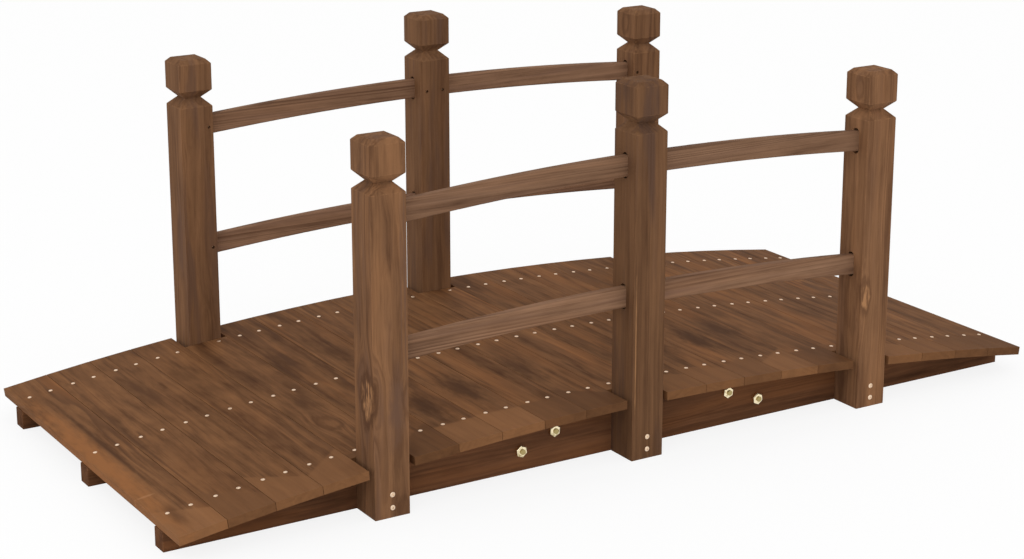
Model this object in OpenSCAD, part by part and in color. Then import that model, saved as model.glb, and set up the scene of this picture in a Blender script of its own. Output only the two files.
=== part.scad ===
// Arched garden bridge: three arched beams carry a deck of cross boards, and six posts carry arched rails.
// The bridge runs along X, its boards lie along Y, and it stands on the ground at z = 0.

/* [Deck] */
// Length of the deck from end to end
deck_l = 1500; // [1300:1:1700]
// Length of a full deck board, across the bridge
deck_w = 682; // [560:1:800]
// Number of deck boards, odd so that one lies in the middle
board_n = 21; // [15:2:25]
// Thickness of a deck board
board_t = 13; // [8:0.5:20]
// Open seam between neighbouring boards
board_seam = 0.6; // [0.2:0.1:3]
// Height by which the middle of the deck stands over its ends
deck_rise = 55; // [25:1:100]
// Gap between the end of a short board and the post beside it
short_gap = 1; // [0.5:0.5:10]

/* [Beams] */
// Thickness of a beam
beam_t = 28; // [18:1:40]
// Height of a beam at its ends
beam_end_h = 29; // [18:1:60]
// Distance from the end of the deck to the end of a beam
beam_inset = 0.5; // [0:0.5:20]
// Distance from the middle of the bridge to the joint in a side beam
joint_shift = 29; // [0:1:60]
// Play between a beam and the boards on it
seat_play = 0.1; // [0.05:0.05:0.5]

/* [Splice plates] */
// Length of the plate that joins the two halves of a beam
plate_l = 490; // [400:1:600]
// Thickness of a splice plate
plate_t = 20; // [12:1:30]
// Height of a splice plate's lower edge over the ground
plate_lift = 12; // [4:1:20]
// Clear height between a splice plate's ends and the boards over it
plate_clear = 9; // [3:1:14]

/* [Posts] */
// Width of a square post
post_w = 55; // [44:1:62]
// Number of boards from the middle post to an end post
post_step = 6; // [4:1:6]
// Distance by which a post's outer face stands proud of the board ends
post_proud = 0.5; // [0:0.5:20]
// Height of a middle post over the rails that it holds
mid_post_over = 108.5; // [96:0.5:160]
// Height of an end post over the rails that it holds
end_post_over = 96.5; // [90:0.5:160]

/* [Finials] */
// Height of the cap on a post
cap_h = 49; // [30:1:52]
// Width and height of the bevel round the cap's top
cap_bevel = 7; // [2:0.5:12]
// Height of the grooved neck under the cap
neck_h = 26; // [14:1:28]
// Width left at the bottom of the neck's groove
neck_w = 28; // [18:1:40]

/* [Rails] */
// Height of a rail's section
rail_h = 31.5; // [18:0.5:45]
// Thickness of a rail
rail_t = 14; // [8:1:24]
// Radius of a rail's eased long edges
rail_ease = 2.5; // [0.5:0.5:3.5]
// Radius of a rail's arched middle line
rail_r = 4900; // [3600:50:9000]
// Clear height from the deck to the lower rail, at the middle
rail_low_clear = 136.5; // [90:0.5:200]
// Clear height between the two rails of a bay
rail_gap = 166; // [100:0.5:220]
// Length of rail end that sits in a post's slot
tenon_l = 15; // [8:1:18]
// Play of a rail between the sides of its slot
slot_play = 0.3; // [0.2:0.1:0.8]
// Play of a rail's eased edges in the round ends of its slot
edge_play = 0.15; // [0.1:0.05:0.2]

/* [Hidden] */
deck_color = "#7a5236";
beam_color = "#553726";
post_color = "#74543d";
rail_color = "#6c4c37";

// The deck follows an arc through its two ends and its crown
half_l = deck_l / 2;
deck_r = (half_l * half_l + deck_rise * deck_rise) / (2 * deck_rise);
crown_z = beam_end_h + board_t + deck_rise;
arc_z = crown_z - deck_r;
seat_r = deck_r - board_t;
board_angle = 2 * asin(half_l / deck_r) / board_n;
board_w = 2 * seat_r * tan(board_angle / 2) - board_seam;
board_mid = (board_n + 1) / 2;

// Posts stand in the places of the short boards, against the outer faces of the side beams
post_x = deck_r * sin(post_step * board_angle);
side_y = deck_w / 2 + post_proud;
post_y = side_y - post_w / 2;
post_in_y = side_y - post_w;
short_l = 2 * (post_in_y - short_gap);
beam_l = deck_l - 2 * beam_inset;
groove_d = (post_w - neck_w) / 2;

// The rails stack up from the deck's crown
low_rail_z = crown_z + rail_low_clear + rail_h / 2;
up_rail_z = low_rail_z + rail_h + rail_gap;
slot_w = rail_t + 2 * slot_play;
slot_l = tenon_l + slot_play;

// The centres of a slot's round ends lie where the eased edges of the rail just clear them
edge_in = rail_t / 2 - rail_ease;
edge_reach = slot_w / 2 - edge_play - rail_ease;
slot_straight = rail_h - 2 * rail_ease - 2 * sqrt(edge_reach * edge_reach - edge_in * edge_in);

// Sides run from the front, -1, over the middle, 0, to the back, 1; ends are left, -1, and right, 1
side_names = ["front", "middle", "back"];
place_names = ["left", "middle", "right"];
level_names = ["lower", "upper"];

function beam_name(side, end) = str(side_names[side + 1], "_beam_", place_names[end + 1]);
function plate_name(side) = str(side_names[side + 1], "_splice_plate");
function post_name(side, place) = str(side_names[side + 1], "_post_", place_names[place + 1]);
function rail_name(side, level, end) =
    str(side_names[side + 1], "_", level_names[level], "_rail_", place_names[end + 1]);
function board_name(i) = str("deck_board_", i);

function beam_y(side) = side * (post_in_y - beam_t / 2);
function joint_x(side) = -side * joint_shift;
function seat_z(x) = arc_z + sqrt(seat_r * seat_r - x * x);
function rail_mid_z(level, x) =
    (level == 1 ? up_rail_z : low_rail_z) - rail_r + sqrt(rail_r * rail_r - x * x);
function is_short(i) = abs(i - board_mid) == post_step || i == board_mid;
function post_h(place) =
    rail_mid_z(1, place * post_x) + rail_h / 2 + (place == 0 ? mid_post_over : end_post_over);

// A disc across the bridge whose rim is an arch of the given radius with its top at height top_z
module arch_disc(r, top_z, t) {
    translate([0, 0, top_z - r])
        rotate([90, 0, 0])
            cylinder(r = r, h = t, center = true, $fn = 1440);
}

// Half of a beam: flat on the ground, arched on top, and cut plumb at its end and at the joint
module half_beam(side, end) {
    x_low = end < 0 ? -beam_l / 2 : joint_x(side);
    x_high = end < 0 ? joint_x(side) : beam_l / 2;
    top_r = seat_r - seat_play;
    color(beam_color)
        translate([0, beam_y(side), 0])
            intersection() {
                translate([x_low, -beam_t / 2, 0])
                    cube([x_high - x_low, beam_t, crown_z]);
                arch_disc(top_r, arc_z + top_r, 2 * beam_t);
            }
}

// Plate on the inner face of a beam, across its joint
module splice_plate(side) {
    inward = side > 0 ? -1 : 1;
    end_x = joint_shift * abs(side) + plate_l / 2;
    top_z = seat_z(end_x) - plate_clear;
    color(beam_color)
        translate([joint_x(side), beam_y(side) + inward * (beam_t + plate_t) / 2, (plate_lift + top_z) / 2])
            cube([plate_l, plate_t, top_z - plate_lift], center = true);
}

// Outline of a post seen from one side: shaft, grooved neck, and cap with a bevelled top
module post_outline(h) {
    cap_z = h - cap_h;
    half = post_w / 2;
    right = [
        [half, 0],
        [half, cap_z - neck_h],
        [half - groove_d, cap_z - neck_h / 2],
        [half, cap_z],
        [half, h - cap_bevel],
        [half - cap_bevel, h]
    ];
    left = [for (i = [len(right) - 1:-1:0]) [-right[i].x, right[i].y]];
    polygon(concat(right, left));
}

// Round-ended slot that takes a rail's end, cut from the post face that looks towards dir
module rail_slot(place, level, dir) {
    face_x = place * post_x + dir * post_w / 2;
    z_face = rail_mid_z(level, face_x);
    z_end = rail_mid_z(level, face_x - dir * tenon_l);
    straight_h = slot_straight + abs(z_face - z_end);
    translate([dir * (post_w / 2 - slot_l), 0, (z_face + z_end) / 2])
        rotate([90, 0, dir * 90])
            linear_extrude(2 * slot_l) {
                square([slot_w, straight_h], center = true);
                for (up = [-1, 1])
                    translate([0, up * straight_h / 2])
                        circle(d = slot_w, $fn = 48);
            }
}

// Square post with its finial, and slots only on the faces that rails run into
module post(side, place) {
    h = post_h(place);
    dirs = [for (dir = [-1, 1]) if (place != dir) dir];
    color(post_color)
        translate([place * post_x, side * post_y, 0])
            difference() {
                intersection() {
                    rotate([90, 0, 0])
                        translate([0, 0, -post_w])
                            linear_extrude(2 * post_w)
                                post_outline(h);
                    rotate([90, 0, 90])
                        translate([0, 0, -post_w])
                            linear_extrude(2 * post_w)
                                post_outline(h);
                }
                for (level = [0, 1], dir = dirs)
                    rail_slot(place, level, dir);
            }
}

// Section of a rail with eased corners, drawn at the radius of the rail's arch
module rail_section() {
    translate([rail_r, 0]) {
        square([rail_h - 2 * rail_ease, rail_t], center = true);
        square([rail_h, rail_t - 2 * rail_ease], center = true);
        for (up = [-1, 1], out = [-1, 1])
            translate([up * (rail_h / 2 - rail_ease), out * (rail_t / 2 - rail_ease)])
                circle(r = rail_ease, $fn = 32);
    }
}

// Arched rail of one bay, swept along its arch and cut plumb at both ends inside the posts' slots
module rail(side, level, end) {
    x_near = post_w / 2 - tenon_l;
    x_far = post_x - post_w / 2 + tenon_l;
    sweep = 2 * asin(post_x / rail_r);
    color(rail_color)
        translate([0, side * post_y, rail_mid_z(level, 0) - rail_r])
            intersection() {
                translate([end > 0 ? x_near : -x_far, -rail_t, 0])
                    cube([x_far - x_near, 2 * rail_t, 2 * rail_r]);
                rotate([90, 0, 0])
                    rotate([0, 0, 90 - sweep / 2])
                        rotate_extrude(angle = sweep, $fn = 1440)
                            rail_section();
            }
}

// Flat board laid on the arch of the beams; a short one fits between two posts
module deck_board(i) {
    length = is_short(i) ? short_l : deck_w;
    color(deck_color)
        translate([0, 0, arc_z])
            rotate([0, (i - board_mid) * board_angle, 0])
                translate([-board_w / 2, -length / 2, seat_r])
                    cube([board_w, length, board_t]);
}

for (side = [-1:1], end = [-1, 1])
    half_beam(side, end);
for (side = [-1:1])
    splice_plate(side);
for (side = [-1, 1], place = [-1:1])
    post(side, place);
for (side = [-1, 1], level = [0, 1], end = [-1, 1])
    rail(side, level, end);
for (i = [1:board_n])
    deck_board(i);
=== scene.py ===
"""Arched garden bridge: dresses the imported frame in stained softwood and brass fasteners."""

import logging
import math
import random
from collections.abc import Callable, Iterator, Mapping, Sequence
from dataclasses import dataclass, field
from enum import Enum

import bmesh
import bpy
from mathutils import Matrix, Vector


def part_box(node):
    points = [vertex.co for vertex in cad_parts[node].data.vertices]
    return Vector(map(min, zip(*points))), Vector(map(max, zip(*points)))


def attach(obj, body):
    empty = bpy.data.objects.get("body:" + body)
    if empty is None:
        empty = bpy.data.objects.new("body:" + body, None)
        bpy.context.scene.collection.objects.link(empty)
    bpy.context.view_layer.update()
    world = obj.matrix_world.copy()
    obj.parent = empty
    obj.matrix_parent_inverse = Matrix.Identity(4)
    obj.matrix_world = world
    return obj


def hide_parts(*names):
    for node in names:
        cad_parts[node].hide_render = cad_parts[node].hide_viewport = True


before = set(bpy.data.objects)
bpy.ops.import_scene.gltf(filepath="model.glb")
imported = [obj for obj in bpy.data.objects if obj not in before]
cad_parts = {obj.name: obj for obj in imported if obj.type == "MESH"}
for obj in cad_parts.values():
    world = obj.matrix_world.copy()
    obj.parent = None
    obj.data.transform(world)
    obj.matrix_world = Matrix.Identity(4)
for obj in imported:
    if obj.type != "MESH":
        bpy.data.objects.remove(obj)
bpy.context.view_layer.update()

LOG = logging.getLogger("bridge")
BODY = "root"
MM = 0.001
MERGE = 1e-6
FLAT = math.radians(0.02)
SHARP = math.radians(25)
HOLE_SIDES = 20

Colour = tuple[float, float, float, float]
Point = tuple[float, float, float]


def stain(red: int, green: int, blue: int) -> Colour:
    """Turn a colour as a screen shows it into the linear colour that a shader takes.

    Args:
        red: Red from 0 to 255.
        green: Green from 0 to 255.
        blue: Blue from 0 to 255.

    Returns:
        The linear colour with an alpha of 1.
    """

    def linear(byte: int) -> float:
        """Linear value of one channel."""
        part = byte / 255
        return part / 12.92 if part <= 0.04045 else ((part + 0.055) / 1.055) ** 2.4

    return (linear(red), linear(green), linear(blue), 1.0)


def put(name: str, data: bpy.types.ID) -> bpy.types.Object:
    """Put a new object in the scene.

    Args:
        name: Its name.
        data: Its mesh, light or camera.

    Returns:
        The object.
    """
    thing = bpy.data.objects.new(name, data)
    bpy.context.scene.collection.objects.link(thing)
    return thing


def blank_material(name: str) -> bpy.types.Material:
    """Make a material whose nodes are in use.

    Args:
        name: Its name.

    Returns:
        The material.
    """
    material = bpy.data.materials.new(name)
    material.use_nodes = True
    return material


def middle_of(node: str) -> Vector:
    """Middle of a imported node, in millimetres."""
    low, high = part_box(node)
    return (low + high) / 2 / MM


def arch_radius(length: float, rise: float) -> float:
    """Radius of an arch that rises so far over a length."""
    half = length / 2
    return (half * half + rise * rise) / (2 * rise)


DECK_LENGTH = 1.5
DECK_RADIUS = arch_radius(DECK_LENGTH, rise=0.055)
BOARD_N = 21
BOARD_TURN = 2 * math.asin(DECK_LENGTH / 2 / DECK_RADIUS) / BOARD_N


class Value:
    """A socket that gives something, with arithmetic that adds Math nodes."""

    def __init__(self, graph: "Graph", socket: bpy.types.NodeSocket) -> None:
        """Wrap an output socket of a graph."""
        self.graph = graph
        self.socket = socket

    def __add__(self, other: "Number") -> "Value":
        """Sum of two numbers."""
        return self.graph.math("ADD", self, other)

    __radd__ = __add__

    def __sub__(self, other: "Number") -> "Value":
        """Difference of two numbers."""
        return self.graph.math("SUBTRACT", self, other)

    def __rsub__(self, other: float) -> "Value":
        """Difference with a plain number first."""
        return self.graph.math("SUBTRACT", other, self)

    def __mul__(self, other: "Number") -> "Value":
        """Product of two numbers."""
        return self.graph.math("MULTIPLY", self, other)

    __rmul__ = __mul__

    def __truediv__(self, other: "Number") -> "Value":
        """Quotient of two numbers."""
        return self.graph.math("DIVIDE", self, other)

    def __abs__(self) -> "Value":
        """Size of a number without its sign."""
        return self.graph.math("ABSOLUTE", self)


Number = Value | float
Input = Value | list["Value"] | float | int | bool | str | tuple[float, ...] | bpy.types.Material


@dataclass
class Made:
    """A node that a graph has made, read by the names of its outputs."""

    graph: "Graph"
    node: bpy.types.Node

    def __getitem__(self, name: str) -> Value:
        """Output of that name."""
        return Value(self.graph, self.graph.pick(self.node.outputs, name))


class Graph:
    """Builds one shader, world or geometry node tree."""

    def __init__(self, tree: bpy.types.NodeTree) -> None:
        """Start on a tree, which is emptied."""
        self.tree = tree
        tree.nodes.clear()

    @staticmethod
    def pick(sockets: bpy.types.bpy_prop_collection, name: str) -> bpy.types.NodeSocket:
        """Find a socket that is in use.

        Args:
            sockets: Inputs or outputs of a node.
            name: Name that the socket shows, or its identifier where several show the same name.

        Returns:
            The first such socket.
        """
        return next(s for s in sockets if name in (s.name, s.identifier) and s.enabled)

    def node(
        self,
        kind: str,
        settings: Mapping[str, object] | None = None,
        inputs: Mapping[str, Input] | None = None,
    ) -> Made:
        """Add a node, set it up and feed its sockets.

        Args:
            kind: Type of the node.
            settings: Properties that are set first; "stops" sets a ramp's stops.
            inputs: Values or links by the sockets' names; a list makes several links to one socket.

        Returns:
            The node, read by its outputs' names.
        """
        made = self.tree.nodes.new(kind)
        for name, setting in (settings or {}).items():
            if name == "stops":
                ramp = made.color_ramp.elements
                while len(ramp) < len(setting):
                    ramp.new(1.0)
                for stop, (place, colour) in zip(ramp, setting):
                    stop.position, stop.color = place, colour
            else:
                setattr(made, name, setting)
        for name, value in (inputs or {}).items():
            socket = self.pick(made.inputs, name)
            for part in value if isinstance(value, list) else [value]:
                if isinstance(part, Value):
                    self.tree.links.new(part.socket, socket)
                else:
                    socket.default_value = part
        return Made(self, made)

    def math(self, operation: str, *parts: Number) -> Value:
        """Add a Math node.

        Args:
            operation: Name of the operation.
            parts: Its numbers, in order.

        Returns:
            The result.
        """
        inputs = dict(zip(("Value", "Value_001"), parts))
        return self.node("ShaderNodeMath", {"operation": operation}, inputs)["Value"]

    def step(self, value: Number, low: float, high: float) -> Value:
        """Ease a number into a share.

        Args:
            value: The number.
            low: Where the share is 0, which may be the greater of the two.
            high: Where the share is 1.

        Returns:
            The share.
        """
        return self.node(
            "ShaderNodeMapRange",
            {"interpolation_type": "SMOOTHSTEP"},
            {"Value": value, "From Min": low, "From Max": high},
        )["Result"]

    def vector(self, x: Number, y: Number, z: Number) -> Value:
        """Join three numbers into a vector."""
        return self.node("ShaderNodeCombineXYZ", None, {"X": x, "Y": y, "Z": z})["Vector"]

    def parts(self, vector: Value) -> tuple[Value, Value, Value]:
        """Split a vector into its three numbers."""
        made = self.node("ShaderNodeSeparateXYZ", None, {"Vector": vector})
        return made["X"], made["Y"], made["Z"]

    def mix(self, factor: Number, low: Value | Colour, high: Value | Colour, way: str = "MIX") -> Value:
        """Mix two colours.

        Args:
            factor: Share of the second colour.
            low: First colour.
            high: Second colour.
            way: How they blend.

        Returns:
            The mixed colour.
        """
        return self.node(
            "ShaderNodeMix",
            {"data_type": "RGBA", "blend_type": way},
            {"Factor": factor, "A": low, "B": high},
        )["Result"]

    def far(self, spot: Value, middle: Point, half: Point) -> Value:
        """Measure how far a spot lies from the middle of an ellipsoid.

        Args:
            spot: The spot.
            middle: The ellipsoid's middle.
            half: Its half sizes.

        Returns:
            The distance, which is 1 on the ellipsoid's surface.
        """
        kind = "ShaderNodeVectorMath"
        off = self.node(kind, {"operation": "SUBTRACT"}, {"Vector": spot, "Vector_001": middle})["Vector"]
        part = self.node(kind, {"operation": "DIVIDE"}, {"Vector": off, "Vector_001": half})["Vector"]
        return self.node(kind, {"operation": "LENGTH"}, {"Vector": part})["Value"]

    def surface(self, height: Value, relief: tuple[float, float], inputs: Mapping[str, Input]) -> None:
        """Finish a material with one shader that has a fine relief.

        Args:
            height: Height of the relief.
            relief: Strength and depth of the relief, the depth in metres.
            inputs: Values of the shader's other inputs.
        """
        strength, depth = relief
        bump = {"Strength": strength, "Distance": depth, "Height": height}
        normal = self.node("ShaderNodeBump", None, bump)["Normal"]
        shader = self.node("ShaderNodeBsdfPrincipled", None, {**inputs, "Normal": normal})["BSDF"]
        self.node("ShaderNodeOutputMaterial", None, {"Surface": shader})

    def attribute(self, name: str) -> Made:
        """Read an attribute of the piece's own mesh."""
        return self.node("ShaderNodeAttribute", {"attribute_name": name})


class Grain(Enum):
    """Way that a piece's fibres run."""

    ACROSS = "across the bridge, in boards laid on an arch"
    UPRIGHT = "up a post"
    STRAIGHT = "along the bridge"


class Figure(Enum):
    """Kind of mark on the wood, painted shadow among them."""

    # SMUDGE serves two causes: a soft dark patch where the stain sank in, and painted shadow where such
    # patches lie on the deck behind the front rails.
    SMUDGE = "soft dark patch where the stain sank in"
    GLOW = "soft warm patch where the stain is thin"
    KNOT = "dark knot that the fibres flow round"
    SCAR = "healed scar, pale within a dark rim"
    SCRATCH = "thin pale line where the stain is worn off"


@dataclass(frozen=True)
class Streaks:
    """Noise drawn out along the grain, with patches of this width and length in millimetres.

    The shift sets one noise apart from the others, and detail is the number of its finer layers.
    """

    width: float
    length: float
    shift: float
    detail: float


FIBRES = Streaks(width=1.1, length=46, shift=9.7, detail=2)
STRIPES = Streaks(width=6.5, length=210, shift=7.3, detail=3)
BANDS = Streaks(width=24, length=560, shift=2.9, detail=2)
MOTTLES = Streaks(width=13, length=52, shift=33.7, detail=3)
RUBBED_SPOTS = Streaks(width=5, length=60, shift=17.1, detail=2)
RAGGED_RIMS = Streaks(width=8, length=26, shift=3.3, detail=3)
TORN_FIBRES = Streaks(width=4.5, length=22, shift=31.3, detail=3)
RING_RIPPLES = Streaks(width=16, length=150, shift=5.1, detail=1)
RING_PATCHES = Streaks(width=42, length=240, shift=23.1, detail=1)
DARK_LINES = Streaks(width=2.6, length=380, shift=27.7, detail=2)
LINE_PATCHES = Streaks(width=30, length=160, shift=25.3, detail=1)


@dataclass(frozen=True)
class Mark:
    """A mark on the wood, a stain, knot, scar or scratch, or a painted shadow: its middle and half sizes
    across, deep and along the grain, in millimetres.
    """

    figure: Figure
    middle: Point
    half: Point
    depth: float = 0.6


@dataclass(frozen=True)
class Timber:
    """What sets one piece of wood apart from the next: its place in the tree and how it took the stain."""

    heart: Point
    seed: float
    tone: float
    warmth: float
    smoke: float
    wave: float = 1.0


@dataclass(frozen=True)
class WoodFinish:
    """Softwood with a brown stain, its year rings cut through as a solid."""

    name: str
    slot: str
    grain: Grain
    light: Colour
    middle: Colour
    dark: Colour
    smoky: Colour
    warm: Colour
    worn: Colour
    ring: float
    wander: float
    sweep: tuple[float, float]
    ring_depth: float
    line_depth: float
    band_depth: float
    streak_depth: float
    patch: tuple[float, float]
    mottle: float = 0.4
    feather: float = 0.3
    end_depth: float = 0.0
    shine: float = 0.03
    relief: tuple[float, float] = (0.3, 0.0006)
    butt_from: float = 0.0
    pitch: float = 0.0
    arch: float = 0.0
    marks: tuple[Mark, ...] = ()

    def lay(self, graph: Graph, arch_z: Value) -> tuple[Value, Value, Value, Value]:
        """Measure a point in the piece's own grain, in millimetres.

        Args:
            graph: Graph of the material.
            arch_z: Height of the arch's centre, for pieces on an arch.

        Returns:
            Distances across, deep and along the grain, and how squarely the face cuts the fibres.
        """
        place = graph.node("ShaderNodeTexCoord")["Object"]
        x, y, z = (part * (1 / MM) for part in graph.parts(place))
        turned = [abs(part) for part in graph.parts(graph.node("ShaderNodeNewGeometry")["Normal"])]
        if self.grain is Grain.UPRIGHT:
            return x, y, z, turned[2]
        if self.grain is Grain.STRAIGHT:
            return y, z, x, turned[0]
        rise = z - arch_z
        run = graph.math("ARCTAN2", x, rise) * self.arch
        out = graph.math("SQRT", x * x + rise * rise) - self.arch
        return run, out, y, turned[1]

    def material(self) -> bpy.types.Material:
        """Build the finish's material.

        Returns:
            The material, which reads the attributes that Timber sets on a piece.
        """
        material = blank_material(self.name)
        graph = WoodGraph(material.node_tree, self)
        layers = graph.marks()
        streak = graph.noise(STRIPES)
        fibre = graph.noise(FIBRES)
        ends = graph.step(graph.end, 0.6, 0.85)
        butt = graph.butt()
        late = graph.late_wood() * (0.6 + 0.4 * graph.wave) * (1 - 0.7 * butt)

        colour = graph.stained(streak, fibre)
        colour = graph.mix(butt * 0.7, colour, graph.butt_colour())
        colour = graph.mix(late * self.ring_depth, colour, self.dark)
        colour = graph.mix(graph.lines() * (1 - 0.7 * butt) * self.line_depth, colour, self.dark)
        for share, tint in layers:
            colour = graph.mix(share, colour, tint)
        rubbed = graph.edge * graph.step(graph.noise(RUBBED_SPOTS), 0.42, 0.66)
        colour = graph.mix(rubbed * 0.18, colour, self.worn)
        colour = graph.mix(ends * self.end_depth, colour, self.dark)
        level = graph.vector(graph.tone, graph.tone, graph.tone)
        colour = graph.mix(1.0, colour, level, "MULTIPLY")

        height = fibre * 0.5 + streak * 0.35 - late * 0.5
        roughness = 0.7 + 0.16 * (fibre - 0.5) - 0.06 * late + 0.1 * ends
        gloss = {"Roughness": roughness, "Specular IOR Level": self.shine}
        graph.surface(height, self.relief, {"Base Color": colour, **gloss})
        return material


class WoodGraph(Graph):
    """Graph of a wood finish, which knows where a point lies in the grain of its piece."""

    butt_slant = 130.0
    butt_fade = 9.0

    def __init__(self, tree: bpy.types.NodeTree, finish: WoodFinish) -> None:
        """Start on a tree and read what Timber has set on the piece.

        Args:
            tree: Tree of the material.
            finish: The finish.
        """
        super().__init__(tree)
        self.finish = finish
        self.heart_a, self.heart_d, arch_z = self.parts(self.attribute("heart")["Vector"])
        self.tone, self.warmth, self.smoke = self.parts(self.attribute("took")["Vector"])
        self.seed = self.attribute("seed")["Fac"]
        self.wave = self.attribute("wave")["Fac"]
        self.edge = self.attribute("edge")["Fac"]
        self.across, self.depth, self.along, self.end = finish.lay(self, arch_z)
        self.spot = self.vector(self.across, self.depth, self.along)
        drift = Streaks(*finish.sweep, shift=1.7, detail=2)
        drift_a, drift_d, _ = self.parts(self.noise(drift, "Color"))
        sway = self.wave * (2 * finish.wander)
        self.across = self.across + (drift_a - 0.5) * sway
        self.depth = self.depth + (drift_d - 0.5) * sway

    def noise(self, streaks: Streaks, out: str = "Fac") -> Value:
        """Make noise that is drawn out along the grain.

        Args:
            streaks: Sizes of the noise.
            out: Output to read.

        Returns:
            The noise.
        """
        where = self.vector(
            self.across / streaks.width + self.seed,
            self.depth / streaks.width + streaks.shift,
            self.along / streaks.length + (self.seed * 0.37 + streaks.shift),
        )
        return self.node(
            "ShaderNodeTexNoise",
            {"noise_dimensions": "3D"},
            {"Vector": where, "Scale": 1.0, "Detail": streaks.detail, "Roughness": 0.55},
        )[out]

    def marks(self) -> list[tuple[Value, Colour]]:
        """Lay out the finish's marks, and let the fibres flow round its knots and scars.

        Returns:
            Shares and colours that lie over the wood.
        """
        layers: list[tuple[Value, Colour]] = []
        finish = self.finish
        if not finish.marks:
            return layers
        ragged = 1.3 * (self.noise(RAGGED_RIMS) - 0.5)
        torn = self.step(self.noise(TORN_FIBRES), 0.6, 0.4)
        spot_a, spot_d, _ = self.parts(self.spot)
        soft = {Figure.SMUDGE: finish.smoky, Figure.GLOW: finish.warm}
        for mark in finish.marks:
            far = self.far(self.spot, mark.middle, mark.half)
            near = far + ragged
            # Stain-and-shade patches darken towards the smoky colour; on the deck some of them are painted
            # shadow of the front rails.
            if mark.figure in soft:
                layers.append((self.step(near, 1.3, 0.1) * mark.depth, soft[mark.figure]))
                continue
            if mark.figure is Figure.SCRATCH:
                layers.append((self.step(near, 1.1, 0.6) * mark.depth, finish.worn))
                continue
            pull = 0.75 * self.step(far, 2.6, 0.3)
            self.across = self.across - (spot_a - mark.middle[0]) * pull
            self.depth = self.depth - (spot_d - mark.middle[1]) * pull
            rim = self.step(near, 1.4, 0.95) - 0.7 * self.step(near, 0.8, 0.4)
            layers.append((rim * mark.depth, finish.dark))
            if mark.figure is Figure.SCAR:
                layers.append((self.step(near, 1.0, 0.5) * torn * mark.depth, finish.worn))
        return layers

    def butt(self) -> Number:
        """Find the smooth bare front end of a board, which starts on a slant of the board's own.

        Returns:
            Share of the bare end, zero in a finish that has none.
        """
        start = self.finish.butt_from
        if not start:
            return 0.0
        across, _, along = self.parts(self.spot)
        off = self.math("FRACT", across / self.finish.pitch + 0.5) - 0.5
        slant = (self.math("FRACT", self.seed * 3.7) - 0.5) * self.butt_slant
        return self.step(off * slant - along, start, start + self.butt_fade)

    def butt_colour(self) -> Value:
        """Colour of a board's bare end, paler on some boards and smokier on others."""
        grey = self.math("FRACT", self.seed * 7.3)
        return self.mix(grey * 0.8, self.finish.light, self.finish.smoky)

    def late_wood(self) -> Value:
        """Draw the year rings round the heart of the tree.

        Returns:
            Share of dark late wood.
        """
        finish = self.finish
        off_a = self.across - self.heart_a
        off_d = self.depth - self.heart_d
        ripple = self.noise(RING_RIPPLES) * (finish.wander * 0.22)
        radius = self.math("SQRT", off_a * off_a + off_d * off_d) + ripple
        uneven = self.node(
            "ShaderNodeTexNoise",
            {"noise_dimensions": "1D"},
            {"W": radius / (4.5 * finish.ring) + self.seed, "Scale": 1.0, "Detail": 1.0},
        )["Fac"]
        rings = radius / finish.ring + uneven * 3.0
        phase = self.math("FRACT", rings)
        strength = self.node(
            "ShaderNodeTexWhiteNoise",
            {"noise_dimensions": "1D"},
            {"W": self.math("FLOOR", rings) + self.seed},
        )["Value"]
        ring = self.step(phase, 0.2, 0.84) * self.step(phase, 1.0, 0.86) * (0.2 + 0.8 * strength)
        return ring * (0.35 + 0.9 * self.step(self.noise(RING_PATCHES), 0.36, 0.64))

    def lines(self) -> Value:
        """Draw single dark fibres where the stain sank deepest."""
        shown = 0.3 + 0.7 * self.step(self.noise(LINE_PATCHES), 0.4, 0.62)
        return self.step(self.noise(DARK_LINES), 0.53, 0.68) * shown

    def stained(self, streak: Value, fibre: Value) -> Value:
        """Stain the wood in bands and streaks, with warm patches and smoky ones.

        Args:
            streak: Noise of middling streaks.
            fibre: Noise of single fibres.

        Returns:
            The colour before the rings are drawn.
        """
        finish = self.finish
        wide, long = finish.patch
        band = self.noise(BANDS)
        feather = finish.feather * (streak - 0.5)
        glow = self.noise(Streaks(wide * 1.3, long * 1.2, shift=14.3, detail=2)) + feather
        smoulder = self.noise(Streaks(wide, long, shift=11.9, detail=3)) + feather
        shade = (
            0.5
            + (band - 0.5) * finish.band_depth
            + (streak - 0.5) * finish.streak_depth
            + (self.noise(MOTTLES) - 0.5) * finish.mottle
            + (fibre - 0.5) * 0.35
        )
        colour = self.node(
            "ShaderNodeValToRGB",
            {"stops": ((0.12, finish.dark), (0.5, finish.middle), (0.88, finish.light))},
            {"Fac": shade},
        )["Color"]
        colour = self.mix(self.step(glow, 0.42, 0.72) * self.warmth, colour, finish.warm)
        return self.mix(self.step(smoulder, 0.48, 0.72) * self.smoke, colour, finish.smoky)


@dataclass(frozen=True)
class MetalFinish:
    """Plated metal with fine scuffs."""

    name: str
    slot: str
    bright: Colour
    dull: Colour
    roughness: float
    scuff: float = 2.5
    grit: float = 0.35
    relief: tuple[float, float] = (0.15, 0.0002)

    def material(self) -> bpy.types.Material:
        """Build the finish's material.

        Returns:
            The material.
        """
        material = blank_material(self.name)
        graph = Graph(material.node_tree)
        place = graph.node("ShaderNodeTexCoord")["Object"]

        def speckle(size: float, detail: float) -> Value:
            """Noise with spots of that size in millimetres."""
            return graph.node(
                "ShaderNodeTexNoise",
                None,
                {"Vector": place, "Scale": 1 / (size * MM), "Detail": detail},
            )["Fac"]

        scuffed = graph.step(speckle(self.scuff, 3), 0.45, 0.75)
        tarnish = graph.math("MAXIMUM", scuffed, graph.attribute("dull")["Fac"])
        grit = speckle(self.grit, 2)
        roughness = self.roughness + 0.15 * tarnish + 0.1 * (grit - 0.5)
        colour = graph.mix(tarnish, self.bright, self.dull)
        plated = {"Base Color": colour, "Metallic": 1.0, "Roughness": roughness}
        graph.surface(grit, self.relief, plated)
        return material


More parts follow.
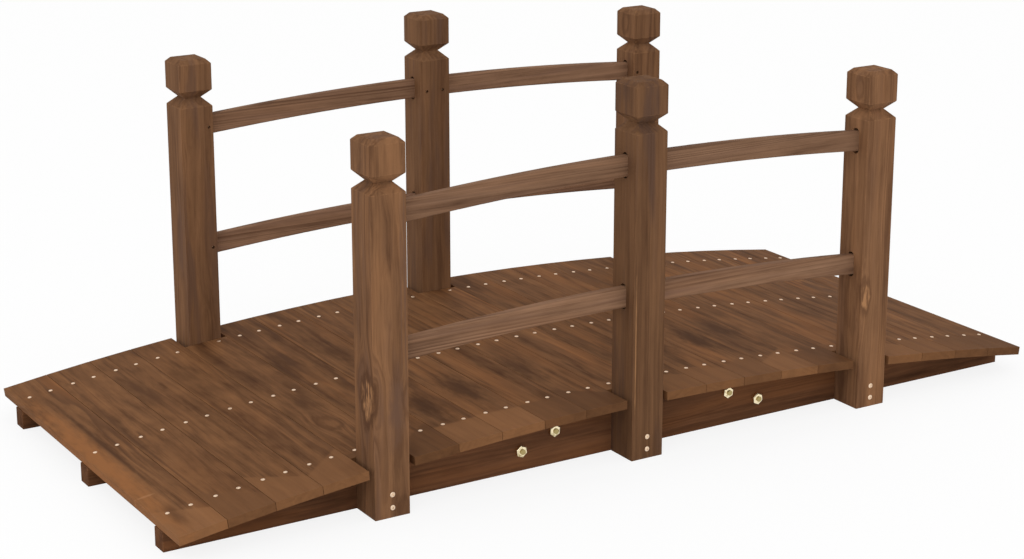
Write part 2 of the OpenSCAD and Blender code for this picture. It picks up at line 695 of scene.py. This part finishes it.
class Workshop:
    """Makes materials once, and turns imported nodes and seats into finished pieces."""

    def __init__(self) -> None:
        """Start with no materials, and the tree of the fasteners."""
        self.materials: dict[str, bpy.types.Material] = {}
        self.heads = HeadTree().tree

    def material(self, finish: WoodFinish | MetalFinish) -> bpy.types.Material:
        """Make a finish's material at its first use.

        Args:
            finish: The finish.

        Returns:
            Its material.
        """
        if finish.name not in self.materials:
            self.materials[finish.name] = finish.material()
        return self.materials[finish.name]

    def register(self, piece: bpy.types.Object, slot: str, *nodes: str) -> None:
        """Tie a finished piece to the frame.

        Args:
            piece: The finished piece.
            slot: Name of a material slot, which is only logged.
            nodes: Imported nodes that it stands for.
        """
        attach(piece, BODY)
        if nodes:
            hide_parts(*nodes)
        LOG.info("%s: %d faces, slot %s", piece.name, len(piece.data.polygons), slot)

    def eased(
        self,
        node: str,
        finish: WoodFinish,
        timber: Timber,
        width: float,
        cut: Callable[[bmesh.types.BMEdge], bool] = lambda edge: False,
        holes: Sequence["Hole"] = (),
    ) -> None:
        """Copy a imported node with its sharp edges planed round, and dress it in wood.

        Args:
            node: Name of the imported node.
            finish: Wood finish of the piece.
            timber: What sets this piece apart.
            width: Width of the eased edges in metres.
            cut: Tells the edges that stay as they were cut.
            holes: Holes drilled into the copy.
        """
        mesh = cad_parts[node].data.copy()
        mesh.materials.clear()
        name = f"{node}_eased"
        mesh.name = name
        piece = put(name, mesh)
        self._round_edges(mesh, width, cut)
        if holes:
            self._drill(piece, holes)
        self._smooth(piece)
        mesh = piece.data
        for attribute, kind, values in (
            ("heart", "FLOAT_VECTOR", timber.heart),
            ("took", "FLOAT_VECTOR", (timber.tone, timber.warmth, timber.smoke)),
            ("seed", "FLOAT", (timber.seed,)),
            ("wave", "FLOAT", (timber.wave,)),
        ):
            layer = mesh.attributes.new(attribute, kind, "POINT")
            many = len(mesh.vertices)
            layer.data.foreach_set("vector" if len(values) == 3 else "value", list(values) * many)
        mesh.materials.append(self.material(finish))
        self.register(piece, finish.slot, node)

    @staticmethod
    def _round_edges(mesh: bpy.types.Mesh, width: float, cut: Callable[[bmesh.types.BMEdge], bool]) -> None:
        """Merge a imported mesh, round its outer edges and mark the rounded faces.

        Args:
            mesh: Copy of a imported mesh.
            width: Width of the rounding in metres.
            cut: Tells the edges that stay as they were cut.
        """
        shape = bmesh.new()
        shape.from_mesh(mesh)
        layer = shape.faces.layers.float.new("edge")
        bmesh.ops.remove_doubles(shape, verts=shape.verts, dist=MERGE)
        bmesh.ops.dissolve_limit(shape, angle_limit=FLAT, verts=shape.verts, edges=shape.edges)
        sharp = [e for e in shape.edges if e.calc_face_angle(0.0) > SHARP]
        outer = [e for e in sharp if e.is_convex and not cut(e)]
        for face in shape.faces:
            face.smooth = True
        for edge in sharp:
            edge.smooth = False
        for edge in outer:
            edge.smooth = True
        made = bmesh.ops.bevel(
            shape,
            geom=outer,
            offset=width,
            offset_type="OFFSET",
            segments=2,
            profile=0.5,
            affect="EDGES",
            clamp_overlap=True,
        )
        for face in made["faces"]:
            face[layer] = 1.0
        shape.to_mesh(mesh)
        shape.free()

    @staticmethod
    def _drill(piece: bpy.types.Object, holes: Sequence["Hole"]) -> None:
        """Cut round holes into a piece.

        Args:
            piece: The piece.
            holes: The holes.
        """
        bits = bmesh.new()
        for hole in holes:
            turn = Vector((0, 0, 1)).rotation_difference(Vector(hole.facing)).to_matrix().to_4x4()
            bmesh.ops.create_cone(
                bits,
                cap_ends=True,
                segments=HOLE_SIDES,
                radius1=hole.radius,
                radius2=hole.radius,
                depth=2 * hole.deep,
                matrix=Matrix.Translation(hole.place) @ turn,
            )
        mesh = bpy.data.meshes.new("bits")
        bits.to_mesh(mesh)
        bits.free()
        cutter = put("bits", mesh)
        cut = piece.modifiers.new("holes", "BOOLEAN")
        cut.object = cutter
        cut.solver = "EXACT"
        Workshop._settle(piece)
        bpy.data.objects.remove(cutter)
        bpy.data.meshes.remove(mesh)

    @staticmethod
    def _smooth(piece: bpy.types.Object) -> None:
        """Shade flat faces flat and rounded edges round.

        Args:
            piece: The piece.
        """
        weigh = piece.modifiers.new("normals", "WEIGHTED_NORMAL")
        weigh.keep_sharp = True
        weigh.weight = 100
        Workshop._settle(piece)

    @staticmethod
    def _settle(piece: bpy.types.Object) -> None:
        """Replace a piece's mesh by what its modifiers make of it, and remove them.

        Args:
            piece: The piece.
        """
        depsgraph = bpy.context.evaluated_depsgraph_get()
        mesh = bpy.data.meshes.new_from_object(
            piece.evaluated_get(depsgraph), preserve_all_data_layers=True, depsgraph=depsgraph
        )
        piece.modifiers.clear()
        old, piece.data = piece.data, mesh
        bpy.data.meshes.remove(old)
        mesh.name = piece.name

    def fasten(self, name: str, head: "Head", seats: Sequence["Seat"]) -> None:
        """Set one kind of fastener at all its seats.

        Args:
            name: Name of the piece.
            head: The fastener's head.
            seats: Where the heads sit and which way they look.
        """
        mesh = bpy.data.meshes.new(name)
        mesh.from_pydata([seat.place for seat in seats], [], [])
        facing = mesh.attributes.new("facing", "FLOAT_VECTOR", "POINT")
        facing.data.foreach_set("vector", [part for seat in seats for part in seat.facing])
        piece = put(name, mesh)
        modifier = piece.modifiers.new("heads", "NODES")
        modifier.node_group = self.heads
        values = head.inputs(self.material(head.finish))
        for item in self.heads.interface.items_tree:
            if item.item_type == "SOCKET" and item.name in values:
                modifier[item.identifier] = values[item.name]
        self._settle(piece)
        self.register(piece, head.finish.slot)


@dataclass(frozen=True)
class Seat:
    """Place of a fastener and the way that its head looks."""

    place: Point
    facing: Point


@dataclass(frozen=True)
class Hole:
    """A drilled hole, in metres."""

    place: Point
    facing: Point
    radius: float
    deep: float


@dataclass(frozen=True)
class Head:
    """Head of a nail or screw, or a nut with the stud in it, in metres."""

    finish: MetalFinish
    radius: float
    height: float
    crown: float
    sides: int
    drive_radius: float = 0.0
    drive_depth: float = 0.0
    drive_sides: int = 4
    stud_radius: float = 0.0
    stud_height: float = 0.0
    sunk: float = 0.0002
    seed: int = 7

    def inputs(self, material: bpy.types.Material) -> dict[str, Input]:
        """Values of the tree's named inputs.

        Args:
            material: Material of the heads.

        Returns:
            The values by the inputs' names.
        """
        sizes = {name.replace("_", " ").title(): size for name, size in vars(self).items()}
        del sizes["Finish"]
        return sizes | {"Material": material}


class HeadTree(Graph):
    """Geometry tree that sets a crowned head at every point of a mesh."""

    inputs = {
        "Geometry": ("Geometry",),
        "Float": (
            "Radius", "Height", "Crown", "Sunk",
            "Drive Radius", "Drive Depth", "Stud Radius", "Stud Height",
        ),
        "Int": ("Sides", "Drive Sides", "Seed"),
        "Material": ("Material",),
    }
    stud_sides = 24
    crown_steps = ((0.6, 0.86), (0.3, 0.74), (0.1, 0.6))

    def __init__(self) -> None:
        """Build the whole tree."""
        super().__init__(bpy.data.node_groups.new("fastener_heads", "GeometryNodeTree"))
        for kind, names in self.inputs.items():
            for name in names:
                self.tree.interface.new_socket(name, in_out="INPUT", socket_type=f"NodeSocket{kind}")
        self.tree.interface.new_socket("Geometry", in_out="OUTPUT", socket_type="NodeSocketGeometry")
        self.given = self.node("NodeGroupInput")
        top = self.given["Height"] + self.given["Crown"]
        head = self.crowned(*(self.given[name] for name in ("Sides", "Radius", "Height", "Crown")))
        head = self.studded(self.driven(head, top), top)
        head = self.moved(head, 0.0 - self.given["Sunk"])
        real = self.node("GeometryNodeRealizeInstances", None, {"Geometry": self.placed(head)})["Geometry"]
        dressed = self.node(
            "GeometryNodeSetMaterial", None, {"Geometry": real, "Material": self.given["Material"]}
        )["Geometry"]
        self.node("NodeGroupOutput", None, {"Geometry": dressed})

    def moved(self, shape: Value, rise: Number) -> Value:
        """Lift a shape.

        Args:
            shape: The shape.
            rise: How far it goes up.

        Returns:
            The lifted shape.
        """
        return self.node(
            "GeometryNodeTransform",
            None,
            {"Geometry": shape, "Translation": self.vector(0.0, 0.0, rise)},
        )["Geometry"]

    def either(self, size: Value, shape: Value, other: Value) -> Value:
        """Choose between two shapes.

        Args:
            size: Size that decides.
            shape: Shape that is taken where the size is zero.
            other: Shape that is taken where it isn't.

        Returns:
            The chosen shape.
        """
        return self.node(
            "GeometryNodeSwitch",
            {"input_type": "GEOMETRY"},
            {"Switch": self.math("GREATER_THAN", size, 0.0), "False": shape, "True": other},
        )["Output"]

    def crowned(self, sides: Value | int, radius: Value, height: Value, crown: Number) -> Value:
        """Make a drum with a crowned top, standing on zero.

        Args:
            sides: Number of its sides.
            radius: Its radius.
            height: Height of its side.
            crown: Height of the crown over it.

        Returns:
            The closed shell.
        """
        drum = self.node(
            "GeometryNodeMeshCylinder",
            {"fill_type": "NGON"},
            {"Vertices": sides, "Radius": radius, "Depth": height},
        )
        shell, top = drum["Mesh"], drum["Top"]
        for rise, narrow in self.crown_steps:
            lifted = self.node(
                "GeometryNodeExtrudeMesh",
                {"mode": "FACES"},
                {"Mesh": shell, "Selection": top, "Offset Scale": crown * rise},
            )
            top = lifted["Top"]
            shell = self.node(
                "GeometryNodeScaleElements",
                {"domain": "FACE"},
                {"Geometry": lifted["Mesh"], "Selection": top, "Scale": narrow},
            )["Geometry"]
        return self.moved(shell, height * 0.5)

    def driven(self, head: Value, top: Value) -> Value:
        """Sink the recess for the driver into a head that has one.

        Args:
            head: The head.
            top: Height of its top.

        Returns:
            The head with the recess.
        """
        key = self.node(
            "GeometryNodeMeshCylinder",
            {"fill_type": "NGON"},
            {
                "Vertices": self.given["Drive Sides"],
                "Radius": self.given["Drive Radius"],
                "Depth": self.given["Drive Depth"] * 2,
            },
        )["Mesh"]
        recessed = self.node(
            "GeometryNodeMeshBoolean",
            {"operation": "DIFFERENCE", "solver": "EXACT"},
            {"Mesh 1": head, "Mesh 2": self.moved(key, top)},
        )["Mesh"]
        return self.either(self.given["Drive Depth"], head, recessed)

    def studded(self, head: Value, top: Value) -> Value:
        """Let the end of a stud stand out of a nut that has one.

        Args:
            head: The head.
            top: Height of its top.

        Returns:
            The head with the stud, whose faces are marked as dull.
        """
        height = self.given["Stud Height"]
        stud = self.crowned(self.stud_sides, self.given["Stud Radius"], height * 1.8, height * 0.2)
        dull = self.node(
            "GeometryNodeStoreNamedAttribute",
            {"data_type": "FLOAT", "domain": "FACE"},
            {"Geometry": self.moved(stud, top - height), "Name": "dull", "Value": 1.0},
        )["Geometry"]
        both = self.node("GeometryNodeJoinGeometry", None, {"Geometry": [head, dull]})["Geometry"]
        return self.either(height, head, both)

    def placed(self, head: Value) -> Value:
        """Set a head at every point, along the point's facing and turned at random.

        Args:
            head: The head.

        Returns:
            The instances.
        """
        facing = self.node(
            "GeometryNodeInputNamedAttribute", {"data_type": "FLOAT_VECTOR"}, {"Name": "facing"}
        )["Attribute"]
        upright = self.node(
            "FunctionNodeAlignRotationToVector", {"axis": "Z"}, {"Vector": facing}
        )["Rotation"]
        spin = self.node(
            "FunctionNodeRandomValue", {"data_type": "FLOAT"}, {"Max": math.tau, "Seed": self.given["Seed"]}
        )["Value"]
        turn = self.vector(0.0, 0.0, spin)
        about = self.node("FunctionNodeEulerToRotation", None, {"Euler": turn})["Rotation"]
        turned = self.node(
            "FunctionNodeRotateRotation",
            {"rotation_space": "LOCAL"},
            {"Rotation": upright, "Rotate By": about},
        )["Rotation"]
        return self.node(
            "GeometryNodeInstanceOnPoints",
            None,
            {"Points": self.given["Geometry"], "Instance": head, "Rotation": turned},
        )["Instances"]


DECK_WOOD = WoodFinish(
    name="deck_stain",
    slot="deck_wood",
    grain=Grain.ACROSS,
    light=stain(133, 92, 60),
    middle=stain(112, 77, 50),
    dark=stain(76, 49, 31),
    # smoky also colours the painted shadow of the front rails on the deck.
    smoky=stain(70, 46, 30),
    warm=stain(136, 89, 53),
    worn=stain(168, 124, 88),
    ring=7.0,
    wander=17.0,
    sweep=(60, 620),
    ring_depth=0.55,
    line_depth=0.42,
    band_depth=0.8,
    streak_depth=0.7,
    patch=(40, 210),
    mottle=0.75,
    feather=0.25,
    end_depth=0.05,
    butt_from=262.0,
    pitch=BOARD_TURN * DECK_RADIUS / MM,
    arch=DECK_RADIUS / MM,
    marks=(
        Mark(Figure.GLOW, (-740, 0, -40), (22, 60, 330), 0.9),
        Mark(Figure.SMUDGE, (-715, 0, 20), (5, 60, 250), 0.8),
        Mark(Figure.SMUDGE, (-728, 0, -275), (11, 60, 42)),
        Mark(Figure.SCRATCH, (-737, 0, -192), (16, 60, 3), 0.3),
        Mark(Figure.SMUDGE, (-673, 0, 100), (8, 60, 210)),
        Mark(Figure.KNOT, (-430, 0, -150), (15, 60, 28), 0.5),
        Mark(Figure.SMUDGE, (-426, 0, -55), (20, 60, 60)),
        Mark(Figure.SMUDGE, (-440, 0, 85), (20, 60, 50), 0.5),
        Mark(Figure.SMUDGE, (-365, 0, 125), (20, 60, 50)),
        Mark(Figure.SMUDGE, (-290, 0, 115), (20, 60, 60), 0.5),
        # Painted shadow: these six soft dark patches lie in a band across the deck behind the front rails,
        # where the front lower rail's shadow falls.
        Mark(Figure.SMUDGE, (-286, 0, -185), (27, 60, 75), 0.85),
        Mark(Figure.SMUDGE, (-212, 0, -150), (27, 60, 80), 0.85),
        Mark(Figure.SMUDGE, (-90, 0, -130), (24, 60, 70), 0.7),
        Mark(Figure.SMUDGE, (150, 0, -150), (24, 60, 75), 0.7),
        Mark(Figure.SMUDGE, (225, 0, -150), (26, 60, 75), 0.9),
        Mark(Figure.SMUDGE, (300, 0, -120), (24, 60, 70), 0.8),
    ),
)
POST_WOOD = WoodFinish(
    name="post_stain",
    slot="post_wood",
    grain=Grain.UPRIGHT,
    light=stain(136, 98, 69),
    middle=stain(115, 82, 57),
    dark=stain(78, 52, 36),
    smoky=stain(98, 72, 57),
    warm=stain(136, 96, 65),
    worn=stain(172, 126, 86),
    ring=6.0,
    wander=9.0,
    sweep=(36, 230),
    ring_depth=0.42,
    line_depth=0.26,
    band_depth=0.85,
    streak_depth=0.6,
    patch=(24, 210),
    mottle=0.3,
    marks=(
        Mark(Figure.KNOT, (-457, -314, 200), (10, 14, 30), 0.25),
        Mark(Figure.SCAR, (-457, -325, 172), (10, 18, 38), 0.7),
        Mark(Figure.SMUDGE, (-421, -341, 155), (15, 12, 60), 0.9),
        Mark(Figure.KNOT, (-402, -341, 168), (9, 12, 28), 0.45),
        Mark(Figure.KNOT, (-412, -341, 10), (9, 12, 18), 0.4),
        Mark(Figure.SMUDGE, (-406, -341, 340), (1.6, 8, 190), 0.8),
        Mark(Figure.SMUDGE, (-412, -341, 310), (1.2, 8, 150), 0.7),
        Mark(Figure.SCRATCH, (-23, -341, 175), (1.2, 5, 110), 0.7),
        Mark(Figure.KNOT, (402, -318, 175), (9, 14, 50), 0.35),
        Mark(Figure.KNOT, (402, -318, 514), (9, 9, 17), 0.4),
        Mark(Figure.SCAR, (411, -341, 184), (9, 12, 28), 0.55),
        Mark(Figure.KNOT, (402, 314, 516), (10, 10, 20), 0.5),
    ),
)
RAIL_WOOD = WoodFinish(
    name="rail_stain",
    slot="rail_wood",
    grain=Grain.STRAIGHT,
    light=stain(145, 111, 87),
    middle=stain(125, 94, 72),
    dark=stain(82, 57, 42),
    smoky=stain(108, 81, 67),
    warm=stain(138, 101, 75),
    worn=stain(166, 126, 94),
    ring=5.0,
    wander=4.0,
    sweep=(70, 480),
    ring_depth=0.65,
    line_depth=0.3,
    band_depth=0.8,
    streak_depth=0.9,
    patch=(16, 260),
)
BEAM_WOOD = WoodFinish(
    name="beam_stain",
    slot="beam_wood",
    grain=Grain.STRAIGHT,
    light=stain(122, 82, 55),
    middle=stain(101, 67, 45),
    dark=stain(68, 43, 28),
    smoky=stain(72, 46, 32),
    warm=stain(118, 75, 45),
    worn=stain(148, 106, 75),
    ring=7.0,
    wander=12.0,
    sweep=(60, 380),
    ring_depth=0.4,
    line_depth=0.3,
    band_depth=1.1,
    streak_depth=0.9,
    patch=(26, 260),
    end_depth=0.35,
)
PALE_BRASS = MetalFinish(
    name="pale_brass",
    slot="fastener_brass",
    bright=stain(240, 214, 186),
    dull=stain(212, 180, 148),
    roughness=0.4,
)
BRIGHT_BRASS = MetalFinish(
    name="bright_brass",
    slot="fastener_brass",
    bright=stain(250, 234, 196),
    dull=stain(172, 154, 104),
    roughness=0.22,
    scuff=6.0,
)


@dataclass
class Deck:
    """Boards laid across the arch, with their nails."""

    shop: Workshop
    radius: float = DECK_RADIUS
    crown_z: float = 0.097
    board_n: int = BOARD_N
    post_step: int = 6
    ease: float = 0.0002
    nail_off: float = 0.0172
    nail_rows: tuple[float, float, float] = (-0.263, 0.0, 0.273)
    fair_boards: tuple[int, ...] = (1, 2)
    fair_warmth: float = 0.95
    fair_smoke: float = 0.4
    plain_boards: tuple[int, ...] = (2, 3, 4, 5)
    plain_warmth: float = 0.15

    @property
    def centre_z(self) -> float:
        """Height of the arch's centre."""
        return self.crown_z - self.radius

    def turn(self, number: int) -> float:
        """Angle of a board from the crown."""
        return (number - (self.board_n + 1) / 2) * BOARD_TURN

    def is_short(self, number: int) -> bool:
        """Whether a board fits between two posts."""
        off = abs(number - (self.board_n + 1) // 2)
        return off in (0, self.post_step)

    def timber(self, number: int) -> Timber:
        """Wood of one board.

        Args:
            number: Number of the board from the left.

        Returns:
            Its timber.
        """
        draw = random.Random(f"board {number}")
        run = self.turn(number) * self.radius / MM
        side = draw.choice((-1, 1))
        fair = number in self.fair_boards
        warmth = self.fair_warmth if fair else draw.uniform(0.3, 0.8)
        return Timber(
            heart=(run + draw.uniform(-45, 45), side * draw.uniform(35, 80), self.centre_z / MM),
            seed=draw.uniform(0, 90),
            tone=draw.uniform(1.12, 1.18) if fair else draw.uniform(0.97, 1.08),
            warmth=self.plain_warmth if number in self.plain_boards else warmth,
            smoke=self.fair_smoke if fair else draw.uniform(0.35, 0.8),
        )

    def nails(self) -> Iterator[Seat]:
        """Seat the nails, two to a beam on every board, one where a post stands in the way.

        Yields:
            The seats.
        """
        for number in range(1, self.board_n + 1):
            turn = Matrix.Rotation(self.turn(number), 3, "Y")
            for row, y in enumerate(self.nail_rows):
                offs = [-self.nail_off, self.nail_off]
                if self.is_short(number) and row != 1:
                    offs = offs[:1] if row == 0 else offs[1:]
                for off in offs:
                    place = turn @ Vector((off, y, self.radius))
                    place.z += self.centre_z
                    yield Seat(tuple(place), tuple(turn @ Vector((0, 0, 1))))

    def build(self) -> None:
        """Make and dress the boards and their nails."""
        for number in range(1, self.board_n + 1):
            self.shop.eased(f"deck_board_{number}", DECK_WOOD, self.timber(number), self.ease)
        nail = Head(PALE_BRASS, radius=0.0031, height=0.0005, crown=0.0006, sides=14)
        self.shop.fasten("deck_nails", nail, list(self.nails()))


@dataclass
class Beams:
    """Three arched beams, each in two halves with a splice plate, and the bolts through them."""

    shop: Workshop
    side_y: float = 0.2865
    joint_x: float = 0.029
    ease: float = 0.0008
    high_bolt: tuple[float, float] = (0.1587, 0.053)
    low_bolt: tuple[float, float] = (0.2163, 0.032)
    pale_half: str = "front_beam_left"
    pale_tone: float = 1.15

    def timber(self, name: str) -> Timber:
        """Wood of one half beam or plate.

        Args:
            name: Name of its node.

        Returns:
            Its timber.
        """
        draw = random.Random(name)
        middle = middle_of(name)
        return Timber(
            heart=(middle.y + draw.uniform(-30, 30), middle.z - draw.uniform(40, 90), 0.0),
            seed=draw.uniform(0, 90),
            tone=self.pale_tone if name == self.pale_half else draw.uniform(0.98, 1.08),
            warmth=draw.uniform(0.2, 0.8),
            smoke=draw.uniform(0.3, 0.8),
        )

    def bolts(self) -> Iterator[Seat]:
        """Seat the bolts that hold the splice plates, on the outer faces of the side beams.

        Yields:
            The seats.
        """
        for side in (-1, 1):
            for end in (-1, 1):
                for off, z in (self.high_bolt, self.low_bolt):
                    yield Seat((-side * self.joint_x + end * off, side * self.side_y, z), (0, side, 0))

    def build(self) -> None:
        """Make and dress the beams, the plates and the bolts."""
        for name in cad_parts:
            if "_beam_" in name or name.endswith("_splice_plate"):
                self.shop.eased(name, BEAM_WOOD, self.timber(name), self.ease)
        nut = Head(
            BRIGHT_BRASS,
            radius=0.0095,
            height=0.0052,
            crown=0.0016,
            sides=6,
            stud_radius=0.0042,
            stud_height=0.0022,
        )
        self.shop.fasten("splice_bolts", nut, list(self.bolts()))


@dataclass(frozen=True)
class PostLook:
    """How one post took the stain, how wavy it grew, and where the tree's heart lies from its middle."""

    tone: float
    warmth: float
    smoke: float
    wave: float
    heart: tuple[float, float]


@dataclass
class Posts:
    """Six square posts with grooved caps, their foot screws and the sunk screws that hold the rails."""

    shop: Workshop
    width: float = 0.055
    out_y: float = 0.3415
    x: float = 0.4296
    ease: float = 0.0007
    slot_half: float = 0.0076
    foot_z: tuple[float, float] = (0.0342, 0.0148)
    end_hole: tuple[float, float, float] = (0.02, 0.234, 0.431)
    middle_hole: tuple[float, float, float] = (0.015, 0.246, 0.444)
    hole_r: float = 0.0025
    hole_deep: float = 0.006
    looks: Mapping[str, PostLook] = field(
        default_factory=lambda: {
            "front_post_left": PostLook(tone=1.1, warmth=0.6, smoke=0.7, wave=1.6, heart=(-16, 22)),
            "front_post_middle": PostLook(tone=0.84, warmth=0.15, smoke=1.0, wave=0.5, heart=(50, 20)),
            "front_post_right": PostLook(tone=1.23, warmth=0.5, smoke=0.35, wave=0.7, heart=(-55, 14)),
            "back_post_left": PostLook(tone=1.05, warmth=0.3, smoke=0.8, wave=1.4, heart=(8, -20)),
            "back_post_middle": PostLook(tone=0.97, warmth=0.3, smoke=0.8, wave=0.5, heart=(45, 4)),
            "back_post_right": PostLook(tone=1.06, warmth=0.4, smoke=0.5, wave=0.7, heart=(-40, 12)),
        }
    )

    def in_slot(self, edge: bmesh.types.BMEdge) -> bool:
        """Whether an edge belongs to a rail's slot.

        Args:
            edge: Edge of a packed post.

        Returns:
            True if both its corners lie close to the middle of the post's side.
        """
        middle = self.out_y - self.width / 2
        return all(abs(abs(corner.co.y) - middle) < self.slot_half for corner in edge.verts)

    def timber(self, name: str) -> Timber:
        """Wood of one post.

        Args:
            name: Name of its node.

        Returns:
            Its timber.
        """
        draw = random.Random(name)
        middle = middle_of(name)
        look = self.looks[name]
        return Timber(
            heart=(middle.x + look.heart[0], middle.y + look.heart[1], 0.0),
            seed=draw.uniform(0, 90),
            tone=look.tone,
            warmth=look.warmth,
            smoke=look.smoke,
            wave=look.wave,
        )

    def holes(self, side: int, place: int) -> Iterator[Hole]:
        """Holes of the rail screws on one post's inner face.

        Args:
            side: -1 for the front, 1 for the back.
            place: -1 for the left, 0 for the middle, 1 for the right.

        Yields:
            The holes.
        """
        off, low, high = self.end_hole if place else self.middle_hole
        ways = (-place,) if place else (-1, 1)
        for way in ways:
            for z in (low, high):
                spot = (place * self.x + way * off, side * (self.out_y - self.width), z)
                yield Hole(spot, (0, -side, 0), self.hole_r, self.hole_deep)

    def build(self) -> None:
        """Make and dress the posts and their screws."""
        sunk: list[Seat] = []
        feet: list[Seat] = []
        for side, side_name in ((-1, "front"), (1, "back")):
            for place, place_name in ((-1, "left"), (0, "middle"), (1, "right")):
                name = f"{side_name}_post_{place_name}"
                holes = list(self.holes(side, place))
                self.shop.eased(name, POST_WOOD, self.timber(name), self.ease, self.in_slot, holes)
                for hole in holes:
                    spot = Vector(hole.place) - Vector(hole.facing) * hole.deep
                    sunk.append(Seat(tuple(spot), hole.facing))
                feet += [Seat((place * self.x, side * self.out_y, z), (0, side, 0)) for z in self.foot_z]
        screw = Head(
            PALE_BRASS,
            radius=0.0039,
            height=0.0005,
            crown=0.0009,
            sides=20,
            drive_radius=0.0013,
            drive_depth=0.001,
        )
        self.shop.fasten("foot_screws", screw, feet)
        deep = Head(
            PALE_BRASS,
            radius=0.0022,
            height=0.0006,
            crown=0.0004,
            sides=14,
            drive_radius=0.001,
            drive_depth=0.0005,
        )
        self.shop.fasten("rail_screws", deep, sunk)


@dataclass
class Rails:
    """Two arched rails in each of the four bays."""

    shop: Workshop
    lower_tone: float = 1.1
    upper_tone: float = 0.97
    back_tone: float = 1.16

    def timber(self, name: str) -> Timber:
        """Wood of one rail.

        Args:
            name: Name of its node.

        Returns:
            Its timber.
        """
        draw = random.Random(name)
        middle = middle_of(name)
        tone = self.lower_tone if "_lower_" in name else self.upper_tone
        away = draw.choice((-1, 1)) * draw.uniform(45, 90)
        return Timber(
            heart=(middle.y + draw.uniform(-25, 25), middle.z + away, 0.0),
            seed=draw.uniform(0, 90),
            tone=tone * (self.back_tone if name.startswith("back") else 1.0),
            warmth=draw.uniform(0.1, 0.6),
            smoke=draw.uniform(0.2, 0.6),
        )

    def build(self) -> None:
        """Make and dress the rails, whose long edges are round already and whose ends are in the slots."""
        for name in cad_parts:
            if "_rail_" in name:
                self.shop.eased(name, RAIL_WOOD, self.timber(name), 0.0, lambda edge: True)


@dataclass
class Studio:
    """Camera, pale floor and plain soft light."""

    camera_at: Point = (-1.80106, -2.89069, 1.22243)
    yaw: float = 0.5508
    pitch: float = -0.2679
    lens: float = 78.62
    sensor: float = 36.0
    sight: float = 200.0
    shift_y: float = -0.0581
    floor_half: float = 30.0
    sky: float = 0.95
    softbox_at: Point = (-2.6, -2.9, 3.0)
    softbox_aim: Point = (0.0, 0.0, 0.2)
    softbox_size: float = 3.0
    softbox_power: float = 35.0
    white_share: float = 0.85
    white: Colour = (1.0, 1.0, 1.0, 1.0)
    pale: Colour = (0.95, 0.95, 0.95, 1.0)

    @staticmethod
    def _seen(graph: Graph) -> Value:
        """Tell the rays that look at the surroundings straight, in a gloss or through glass.

        Args:
            graph: Graph of a material or of the world.

        Returns:
            1 for such a ray, and 0 for one that only carries light.
        """
        rays = graph.node("ShaderNodeLightPath")
        either = graph.math("MAXIMUM", rays["Is Camera Ray"], rays["Is Glossy Ray"])
        return graph.math("MAXIMUM", either, rays["Is Transmission Ray"])

    def place_camera(self) -> None:
        """Put the camera where the picture was taken from."""
        data = bpy.data.cameras.new("camera")
        data.sensor_width = self.sensor
        data.lens = self.lens
        data.shift_y = self.shift_y
        data.dof.use_dof = False
        data.clip_end = self.sight
        camera = put("camera", data)
        camera.location = self.camera_at
        camera.rotation_euler = (math.pi / 2 + self.pitch, 0.0, -self.yaw)
        bpy.context.scene.camera = camera

    def lay_floor(self) -> None:
        """Lay the floor, which looks white and keeps a soft shadow."""
        half = self.floor_half
        mesh = bpy.data.meshes.new("floor")
        mesh.from_pydata(
            [(-half, -half, 0), (half, -half, 0), (half, half, 0), (-half, half, 0)], [], [(0, 1, 2, 3)]
        )
        floor = put("floor", mesh)
        material = blank_material("floor_white")
        graph = Graph(material.node_tree)
        matt = graph.node("ShaderNodeBsdfDiffuse", None, {"Color": self.pale})["BSDF"]
        bright = graph.node("ShaderNodeEmission", None, {"Color": self.white, "Strength": 1.0})["Emission"]
        mixed = graph.node(
            "ShaderNodeMixShader",
            None,
            {"Fac": self._seen(graph) * self.white_share, "Shader": matt, "Shader_001": bright},
        )["Shader"]
        graph.node("ShaderNodeOutputMaterial", None, {"Surface": mixed})
        mesh.materials.append(material)

    def light(self) -> None:
        """Hang the sky and one large softbox."""
        world = bpy.data.worlds.new("studio")
        world.use_nodes = True
        graph = Graph(world.node_tree)
        strength = self.sky + (1 - self.sky) * self._seen(graph)
        shine = {"Color": self.white, "Strength": strength}
        sky = graph.node("ShaderNodeBackground", None, shine)["Background"]
        graph.node("ShaderNodeOutputWorld", None, {"Surface": sky})
        bpy.context.scene.world = world
        data = bpy.data.lights.new("softbox", "AREA")
        data.shape = "SQUARE"
        data.size = self.softbox_size
        data.energy = self.softbox_power
        lamp = put("softbox", data)
        lamp.location = self.softbox_at
        aim = Vector(self.softbox_aim) - Vector(self.softbox_at)
        lamp.rotation_euler = aim.to_track_quat("-Z", "Y").to_euler()

    def build(self) -> None:
        """Set up the whole studio."""
        self.place_camera()
        self.lay_floor()
        self.light()
        bpy.context.scene.view_settings.view_transform = "Standard"


def main() -> None:
    """Build the studio and every sub-assembly of the bridge."""
    logging.basicConfig(level=logging.INFO, format="%(name)s %(message)s")
    Studio().build()
    shop = Workshop()
    for part in (Deck(shop), Beams(shop), Posts(shop), Rails(shop)):
        part.build()


if __name__ == "__main__":
    main()
